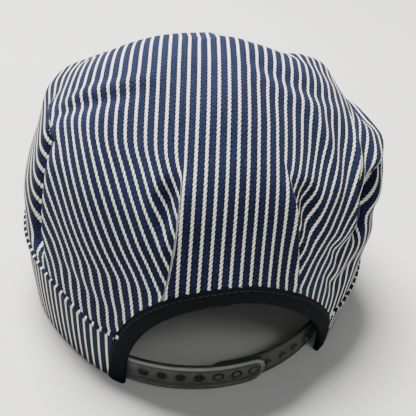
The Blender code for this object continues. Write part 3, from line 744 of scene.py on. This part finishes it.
def make_crown(material):
    """Gathered crown: two skins of cloth that meet at the raw edge under the seam.

    The inner skin has every second row and column of the outer one.
    """
    angles = crown_columns()
    rows = np.linspace(0.0, 1.0, 151)[1:] ** 0.92
    down = rows[:, None] * lowest_share(angles)[None, :]
    angle = np.broadcast_to(angles, down.shape)
    outer = crown_surface(angle, down, 0.0)
    inner = crown_surface(angle, down, CLOTH_WALL)[1::2, ::2]
    across, along = cloth_coordinates(angles, down, plain_crown(angle, down)[..., 2], outer)
    uv = np.stack([across, along], axis=-1)
    top = np.array([[TOP_SHIFT_X, TOP_SHIFT_Y, CROWN_TOP]])
    under_top = top - [[0, 0, CLOTH_WALL]]
    points = np.concatenate([outer.reshape(-1, 3), inner.reshape(-1, 3), top, under_top])
    uv = np.concatenate([uv.reshape(-1, 2), uv[1::2, ::2].reshape(-1, 2), np.zeros((2, 2))])
    fine = len(angles)
    coarse = inner.shape[1]
    start = outer.shape[0] * fine
    i = np.arange(fine)
    j = np.arange(coarse)
    next_i = (i + 1) % fine
    next_j = (j + 1) % coarse
    last = len(points) - 1
    faces = grid_faces(len(rows), fine, True, 0, True).tolist()
    faces += grid_faces(inner.shape[0], coarse, True, start).tolist()
    faces += np.stack([i, next_i, np.full(fine, last - 1)], axis=-1).tolist()
    faces += np.stack([next_j + start, j + start, np.full(coarse, last)], axis=-1).tolist()
    edge = (len(rows) - 1) * fine
    hem = start + (inner.shape[0] - 1) * coarse
    faces += np.stack([edge + 2 * j + 1, edge + 2 * j, hem + j], axis=-1).tolist()
    beyond = edge + (2 * j + 2) % fine
    faces += np.stack([beyond, edge + 2 * j + 1, hem + j, hem + next_j], axis=-1).tolist()
    crown = make_piece("crown_cloth", points, faces, material, uv, ("crown",))


def band_angles(count):
    """Angles from the right end of the band round the front to its left end."""
    left = np.degrees(-(OPENING_LEFT + CLOTH_SETBACK) / SEAM_RADIUS)
    right = np.degrees((OPENING_RIGHT + CLOTH_SETBACK) / SEAM_RADIUS) - 360.0
    return np.linspace(right, left, count)


def make_band(material):
    """Band: a wall with a folded, rounded hem, carried round the cap.

    Its section runs up the outer face, over the top, down the inner face and
    round the hem in a half circle.
    """
    angles = band_angles(520)
    top = band_top(angles) - GAP
    low = rim_height(angles)
    half = BAND_WALL / 2
    rows = 14
    up = np.linspace(0.0, 1.0, rows)
    turn = np.linspace(0.0, np.pi, 7)[1:-1]
    hem = half + half * np.cos(turn)
    inwards = np.concatenate([np.zeros(rows), np.full(rows, BAND_WALL), hem])
    share = np.concatenate([up, up[::-1], np.zeros(len(turn))])
    drop = np.concatenate([np.full(2 * rows, half), half - half * np.sin(turn)])
    angle = angles[:, None]
    height = low[:, None] + drop * (share == 0) + (share > 0) * half * (1 - share)
    height = height + share * (top - low)[:, None]
    swell = BAND_SWELL * np.sin(np.pi * share) * (inwards < half)
    points = polar(angle, band_radius(angle, height) - inwards + swell, height)
    run = run_along(points[:, 6])
    uv = np.stack([np.broadcast_to(run[:, None], height.shape), height], axis=-1)
    make_swept("band_cloth", points, material, uv, ("band",))


def make_seam_roll(material):
    """Rolled edge of cloth where the crown is sewn to the band: a thin round bead."""
    angles = band_angles(900)
    height = band_top(angles) + SEAM_ROLL_OFFSET
    centre = seam_radius(angles) + SEAM_ROLL_OFFSET
    turn = np.arange(10) * 2 * np.pi / 10
    out = SEAM_ROLL_RADIUS * np.cos(turn)
    up = SEAM_ROLL_RADIUS * np.sin(turn)
    points = polar(angles[:, None], centre[:, None] + out, height[:, None] + up)
    run = run_along(polar(angles, centre, height))
    uv = np.stack(np.broadcast_arrays(run[:, None], SEAM_ROLL_RADIUS * turn), axis=-1)
    make_swept("seam_roll", points, material, uv)


def binding_line(steps, offset):
    """Angles and heights of one line of the binding.

    The line is a rounded arch that moves out from the opening's edge by offset.
    """
    t = np.linspace(0.0, 1.0, steps)
    half_left = OPENING_LEFT + ARCH_SHIFT + offset
    half_right = OPENING_RIGHT - ARCH_SHIFT + offset
    turn = np.where(t < 0.5, np.pi * t, np.pi * (1 - t))
    power = np.where(t < 0.5, ARCH_SQUARE_LEFT, ARCH_SQUARE_RIGHT)
    half = np.where(t < 0.5, -half_left, half_right)
    along = ARCH_SHIFT + half * np.abs(np.cos(turn)) ** (2 / power)
    height = (ARCH_HEIGHT + offset) * np.abs(np.sin(turn)) ** (2 / power)
    return np.degrees(along / SEAM_RADIUS), height


def wall_radius(angle, height):
    """Outer radius of the cap's wall at a height, on the band or on the crown.

    On the crown it is read off the column there and the columns one degree to
    each side, and the largest counts.
    """
    top = band_top(angle)
    result = band_radius(angle, np.clip(height, 0.0, top))
    above = np.flatnonzero(height > top)
    downs = np.linspace(0.70, 1.10, 100)[:, None]
    for turn in (-1.0, 0.0, 1.0):
        column = crown_surface((angle[above] + turn)[None, :], downs, 0.0)
        radius = np.hypot(column[..., 0], column[..., 1])
        heights = np.minimum.accumulate(column[..., 2], axis=0)
        k = np.clip((heights > height[above]).sum(axis=0), 1, len(downs) - 1)[None, :]
        high = np.take_along_axis(heights, k - 1, axis=0)[0]
        low = np.take_along_axis(heights, k, axis=0)[0]
        share = np.clip((high - height[above]) / np.maximum(high - low, 1e-9), 0.0, 1.0)
        near = np.take_along_axis(radius, k - 1, axis=0)[0]
        far = np.take_along_axis(radius, k, axis=0)[0]
        result[above] = np.maximum(result[above] * (turn > -1.0), near + (far - near) * share)
    return result


def binding_row(steps, offset, rise):
    """One row of the tape, at an offset from the opening and a rise above the wall."""
    angle, height = binding_line(steps, offset)
    return polar(angle, wall_radius(angle, height) + rise, height)


def make_binding(material):
    """Tape folded over the raw edge of the opening.

    Its section starts at the outer edge of the tape, runs to the opening, turns
    round the edge of the cloth and comes back a short way inside.
    """
    steps = 360
    wide = np.linspace(BINDING_WIDTH, 0.0, 9)
    lift = BINDING_CLEARANCE + BINDING_WALL * np.minimum(1.0, np.linspace(0.0, 3.0, 9))
    rows = [binding_row(steps, w, rise) for w, rise in zip(wide, lift)]
    middle = wall_radius(*binding_line(steps, 0.0)) - BINDING_HOOK / 2 + BINDING_WALL / 2
    for f in np.linspace(0.0, np.pi, 7)[1:-1]:
        angle, height = binding_line(steps, -BINDING_BULGE * np.sin(f))
        radius = middle + (BINDING_HOOK + BINDING_WALL) / 2 * np.cos(f)
        rows.append(polar(angle, radius, height))
    for w in np.linspace(0.0, BINDING_RETURN, 3):
        rows.append(binding_row(steps, w, -BINDING_INNER_DEPTH))
    for w in np.linspace(BINDING_RETURN, BINDING_WIDTH, 4):
        rows.append(binding_row(steps, w, -BINDING_HIDDEN_DEPTH))
    points = np.stack(rows, axis=1)
    points[..., 2] = np.maximum(points[..., 2], 0.0)
    run = run_along(points[:, 4])
    cross = run_along(points[steps // 2])
    uv = np.stack(np.broadcast_arrays(run[:, None], cross[None, :]), axis=-1)
    make_swept("binding_tape", points, material, uv, ("opening_binding",))


def peak_surface(across, out, level):
    """Curved peak between the band (out = 0) and its rounded front edge (out = 1)."""
    angle = 180.0 + across * PEAK_HALF_ANGLE
    a = np.radians(angle)
    lean = (seam_radius(angle) - rim_radius(angle)) * PEAK_SEAT / band_top(angle)
    root = rim_radius(angle) + lean + GAP
    x_root = root * np.sin(a)
    y_root = -root * np.cos(a)
    turn = across * np.pi / 2
    corner = np.radians(PEAK_HALF_ANGLE)
    x_edge = -RIM_RADIUS * np.sin(corner) * np.sin(turn)
    y_corner = RIM_RADIUS * np.cos(corner)
    y_edge = y_corner + (RIM_RADIUS + PEAK_LENGTH - y_corner) * np.cos(turn) ** PEAK_SQUARE
    x = x_root + (x_edge - x_root) * out
    y = y_root + (y_edge - y_root) * out
    reach = np.minimum(np.hypot(x_edge - x_root, y_edge - y_root) / PEAK_LENGTH, 1.0)
    z_root = rim_height(angle) + PEAK_SEAT
    z_edge = PEAK_WALL + PEAK_DROOP * np.cos(turn)
    z = z_root + (z_edge - z_root) * out * reach + PEAK_ARCH * np.cos(turn) * np.sin(np.pi * out)
    return np.stack([x, y, z - level], axis=-1)


def make_peak(material):
    """Peak: two layers of cloth over a stiff board, with a rounded front edge."""
    rows = 40
    out = np.linspace(0.0, 1.0, rows)
    turn = np.linspace(0.0, np.pi, 7)[1:-1]
    across = np.linspace(-PEAK_END, PEAK_END, 181)
    edge = PEAK_WALL / 2 * (1 - np.cos(turn))
    level = np.concatenate([np.zeros(rows), edge, np.full(rows, PEAK_WALL)])
    share = np.concatenate([out, np.full(len(turn), 1.0), out[::-1]])
    round_out = np.concatenate([np.zeros(rows), np.sin(turn), np.zeros(rows)])
    round_out = round_out * PEAK_WALL / 2 / PEAK_LENGTH
    points = peak_surface(across[:, None], (share + round_out)[None, :], level[None, :])
    make_swept("peak_cloth", points, material, points[..., :2], ("peak",))


def make_binding_stitches(material):
    """The row of short stitches that holds the tape down, close to its outer edge.

    They are small bowed tubes, joined in one mesh. Each follows the row for its
    length and bows out of the cloth.
    """
    angle, height = binding_line(900, BINDING_WIDTH - STITCH_INSET)
    height = np.maximum(height, STITCH_LOWEST)
    line = polar(angle, wall_radius(angle, height) + BINDING_WALL * 0.8, height)
    normal = polar(angle, 1.0, 0.0 * angle)
    run = run_along(line)
    starts = np.arange(STITCH_GAP, run[-1] - STITCH_LENGTH, STITCH_LENGTH + STITCH_GAP)
    t = np.linspace(0.0, 1.0, 5)
    at = starts[:, None] + t[None, :] * STITCH_LENGTH
    centre = np.stack([np.interp(at, run, line[:, i]) for i in range(3)], axis=-1)
    out = unit(np.stack([np.interp(at, run, normal[:, i]) for i in range(3)], axis=-1))
    side = unit(np.cross(unit(np.gradient(centre, axis=1)), out))
    bow = STITCH_RADIUS * (1.4 * np.sin(np.pi * t) - 0.4)
    centre = centre + out * bow[None, :, None]
    turn = np.arange(6) * np.pi / 3
    ring = STITCH_RADIUS * (0.35 + 0.65 * np.sin(np.pi * np.clip(t, 0.08, 0.92)))
    circle = (np.cos(turn)[:, None] * side[:, :, None, :]
              + np.sin(turn)[:, None] * out[:, :, None, :])
    points = centre[:, :, None, :] + ring[:, None, None] * circle
    stitch = outward(points[0].reshape(-1, 3), swept_faces(len(t), len(turn)))
    size = len(t) * len(turn)
    faces = [[corner + size * k for corner in face]
             for k in range(len(starts)) for face in stitch]
    make_piece("binding_stitches", points.reshape(-1, 3), faces, material)


def make_bead(name, line, radius, sides, material, flat=1.0):
    """A bead of the strap along a line, round or flattened, with both ends closed."""
    forward = unit(np.gradient(line, axis=0))
    up = np.broadcast_to(np.array([0.0, 0.0, 1.0]), line.shape)
    side = unit(np.cross(forward, up))
    over = np.cross(side, forward)
    turn = np.arange(sides) * 2 * np.pi / sides
    points = (line[:, None] + radius * flat * np.cos(turn)[None, :, None] * side[:, None]
              + radius * np.sin(turn)[None, :, None] * over[:, None])
    make_swept(name, points, material)


def strap_radius():
    """Outer radius at which the strap clears the inside of the band at all its heights."""
    ends = np.array([-OPENING_LEFT, OPENING_RIGHT]) + [-STRAP_TUCK, STRAP_TUCK]
    angles = np.linspace(*np.degrees(ends / RIM_RADIUS), 50)[:, None]
    heights = STRAP_BASE + STRAP_WIDTH * np.array([0.0, 1.0])
    return band_radius(angles, heights).min() - BAND_WALL - GAP


def strap_point(along, height, radius):
    """Points from distances along the outer strap, heights and a radius."""
    a = along / strap_radius()
    return np.stack([radius * np.sin(a), -radius * np.cos(a), height + 0 * a], axis=-1)


def stadium_line(start, end, half, middle, radius):
    """Line on the strap: along its upper side, round a half circle at the end, and back."""
    turn = np.linspace(np.pi / 2, -np.pi / 2, 24)[1:-1]
    straight = np.linspace(start, end, SIDE_POINTS)
    side = np.full(SIDE_POINTS, half)
    along = np.concatenate([straight, end + half * np.cos(turn), straight[::-1]])
    height = middle + np.concatenate([side, half * np.sin(turn), -side])
    return strap_point(along, height, radius)


def make_strap_details(material, painted_highlight_material, groove_shade_material):
    """Raised edges of the moulded strap, and the lines of its grooves.

    The grooves round the holes and round their row are thin near-black lines laid
    on the face of the strap as painted shade. The upper edge and part of the end
    are coloured pale as a painted highlight.
    """
    outer = strap_radius()
    inner = outer - STRAP_WALL - GAP
    hole_end = HOLE_START + (HOLE_COUNT - 1) * HOLE_PITCH
    middle = STRAP_BASE + STRAP_WIDTH / 2
    end = hole_end + STRAP_END_MARGIN
    half = STRAP_WIDTH / 2 - EDGE_BEAD_INSET
    line = stadium_line(-OPENING_LEFT - STRAP_OVERRUN, end - half, half, middle, outer)
    # The upper edge bead is coloured pale as a painted highlight
    for name, part, look in (("strap_edge_bead", line[:PAINTED_HIGHLIGHT_POINTS], painted_highlight_material),
                             ("strap_lower_bead", line[PAINTED_HIGHLIGHT_POINTS - 1:], material)):
        make_bead(name, part, EDGE_BEAD_RADIUS, 12, look, EDGE_BEAD_FLATNESS)
    # The line round the row of holes is coloured near black as painted shade of a recessed line
    line = stadium_line(HOLE_START - GROOVE_START, hole_end, GROOVE_HALF_WIDTH, middle, outer)
    make_bead("strap_groove", line, GROOVE_LINE_RADIUS, 8, groove_shade_material,
              GROOVE_LINE_FLATNESS)
    # The hole collars are coloured near black as painted shade round the holes
    ring = np.linspace(0, 2 * np.pi, 29)
    r = HOLE_DIAMETER / 2 + COLLAR_CLEARANCE
    for i in range(HOLE_COUNT):
        along = HOLE_START + i * HOLE_PITCH + r * np.cos(ring)
        line = strap_point(along, middle + r * np.sin(ring), outer)
        make_bead(f"hole_collar_{i + 1}", line, COLLAR_RADIUS, 6, groove_shade_material,
                  COLLAR_FLATNESS)
    along = np.linspace(end - INNER_BEAD_LAP, OPENING_RIGHT + STRAP_OVERRUN, SIDE_POINTS)
    for side, label in ((half, "upper"), (-half, "lower")):
        line = strap_point(along, np.full(SIDE_POINTS, middle + side), inner)
        make_bead(f"peg_strap_bead_{label}", line, INNER_BEAD_RADIUS, 8, material)


def make_floor(material):
    """Floor that runs level under the cap and curves up into a backdrop behind it."""
    bend = np.linspace(0.0, np.pi / 2, 24)
    y = np.concatenate([[-3.0], 1.3 + 0.9 * np.sin(bend), [2.2]])
    z = np.concatenate([[0.0], 0.9 * (1 - np.cos(bend)), [3.5]])
    x = np.array([-4.0, 4.0])
    points = np.stack(np.broadcast_arrays(x[:, None], y[None, :], z[None, :]), axis=-1)
    points = points.reshape(-1, 3)
    mesh = bpy.data.meshes.new("studio_floor")
    mesh.from_pydata(points.tolist(), [], grid_faces(2, len(y), False).tolist())
    mesh.materials.append(material)
    mesh.shade_smooth()
    floor = bpy.data.objects.new("studio_floor", mesh)
    bpy.context.scene.collection.objects.link(floor)


# The photograph's view: a camera behind and above the cap, tilted a little
VIEW_YAW = -0.2771
VIEW_ELEVATION = 0.6458
VIEW_ROLL = 0.0859
VIEW_DISTANCE = 0.40261
VIEW_TARGET_HEIGHT = 0.060
VIEW_FOCAL_PIXELS = 650.0
VIEW_CENTRE_PIXELS = (192.61, 200.79)
IMAGE_PIXELS = 416.0


def make_camera():
    """Camera placed by its direction from the cap, its distance and its tilt."""
    back = np.array([np.sin(VIEW_YAW) * np.cos(VIEW_ELEVATION),
                     -np.cos(VIEW_YAW) * np.cos(VIEW_ELEVATION), np.sin(VIEW_ELEVATION)])
    right = unit(np.cross(-back, [0.0, 0.0, 1.0]))
    up = np.cross(right, -back)
    tilted_right = np.cos(VIEW_ROLL) * right + np.sin(VIEW_ROLL) * up
    tilted_up = -np.sin(VIEW_ROLL) * right + np.cos(VIEW_ROLL) * up
    place = np.array([0.0, 0.0, VIEW_TARGET_HEIGHT]) + back * VIEW_DISTANCE + OFFSET
    data = bpy.data.cameras.new("camera")
    data.sensor_width = 36.0
    data.lens = VIEW_FOCAL_PIXELS / IMAGE_PIXELS * data.sensor_width
    data.shift_x = (IMAGE_PIXELS / 2 - VIEW_CENTRE_PIXELS[0]) / IMAGE_PIXELS
    data.shift_y = (VIEW_CENTRE_PIXELS[1] - IMAGE_PIXELS / 2) / IMAGE_PIXELS
    data.clip_start = 0.01
    camera = bpy.data.objects.new("camera", data)
    bpy.context.scene.collection.objects.link(camera)
    rotation = Matrix([tilted_right, tilted_up, back]).transposed().to_4x4()
    camera.matrix_world = Matrix.Translation(Vector(place)) @ rotation
    bpy.context.scene.camera = camera


def make_lights():
    """Strong soft light from above, beyond the crown, and two weak ones near the camera."""
    for name, place, target, size, power, colour in (
            ("overhead_lamp", (-0.15, 0.42, 1.26), (0, 0, 0.08), 0.7, 77.0, (1.0, 0.985, 0.96)),
            ("camera_side_lamp", (-0.9, -1.3, 1.0), (0, 0, 0.06), 1.0, 2.0, (0.95, 0.97, 1.0)),
            ("strap_lamp", (0.25, -0.80, 1.00), (0, -0.1, 0.02), 0.35, 2.5, (1.0, 1.0, 1.0))):
        data = bpy.data.lights.new(name, "AREA")
        data.shape = "DISK"
        data.size = size
        data.energy = power
        data.color = colour
        light = bpy.data.objects.new(name, data)
        light.location = place
        direction = Vector(target) - Vector(place)
        light.rotation_euler = direction.to_track_quat("-Z", "Y").to_euler()
        bpy.context.scene.collection.objects.link(light)
    world = bpy.data.worlds.new("studio_air")
    world.use_nodes = True
    background = world.node_tree.nodes["Background"]
    background.inputs[0].default_value = (0.88, 0.91, 0.95, 1.0)
    background.inputs[1].default_value = 0.175
    bpy.context.scene.world = world


def main():
    make_camera()
    make_lights()
    make_floor(studio_paper("matt studio paper", "D4D4D0"))
    # For each cotton the last two colours are the white yarn's painted lit colour and its painted
    # shade
    crown_cotton = rope_stripe_cotton("hickory stripe cotton",
                                      "070B1E", "232E56", "FFFDF2", "7A7562")
    band_cotton = rope_stripe_cotton("hickory stripe cotton, band",
                                     "070B1E", "222C52", "FDFAEF", "787360")
    tape = black_cotton_tape("black cotton tape", "020304", "1D2228")
    plastic = moulded_plastic("charcoal polyethylene", "3E403E", "50524F")
    make_band(band_cotton)
    make_crown(crown_cotton)
    make_seam_roll(band_cotton)
    make_binding(tape)
    make_binding_stitches(cotton_thread("black cotton thread", "16181C"))
    make_peak(band_cotton)
    # The pale copy of the plastic is a painted highlight on the edge bead; the near-black copy is
    # painted shade for the lines round the holes and the hole collars
    make_strap_details(plastic, moulded_plastic("polyethylene edge with painted highlight", "666866", "7E807E"),
                       moulded_plastic("shaded polyethylene groove", "101111", "181919"))
    for node in ("strap_with_holes", "strap_with_pegs"):
        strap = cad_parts[node]
        strap.data.materials.clear()
        strap.data.materials.append(plastic)


main()
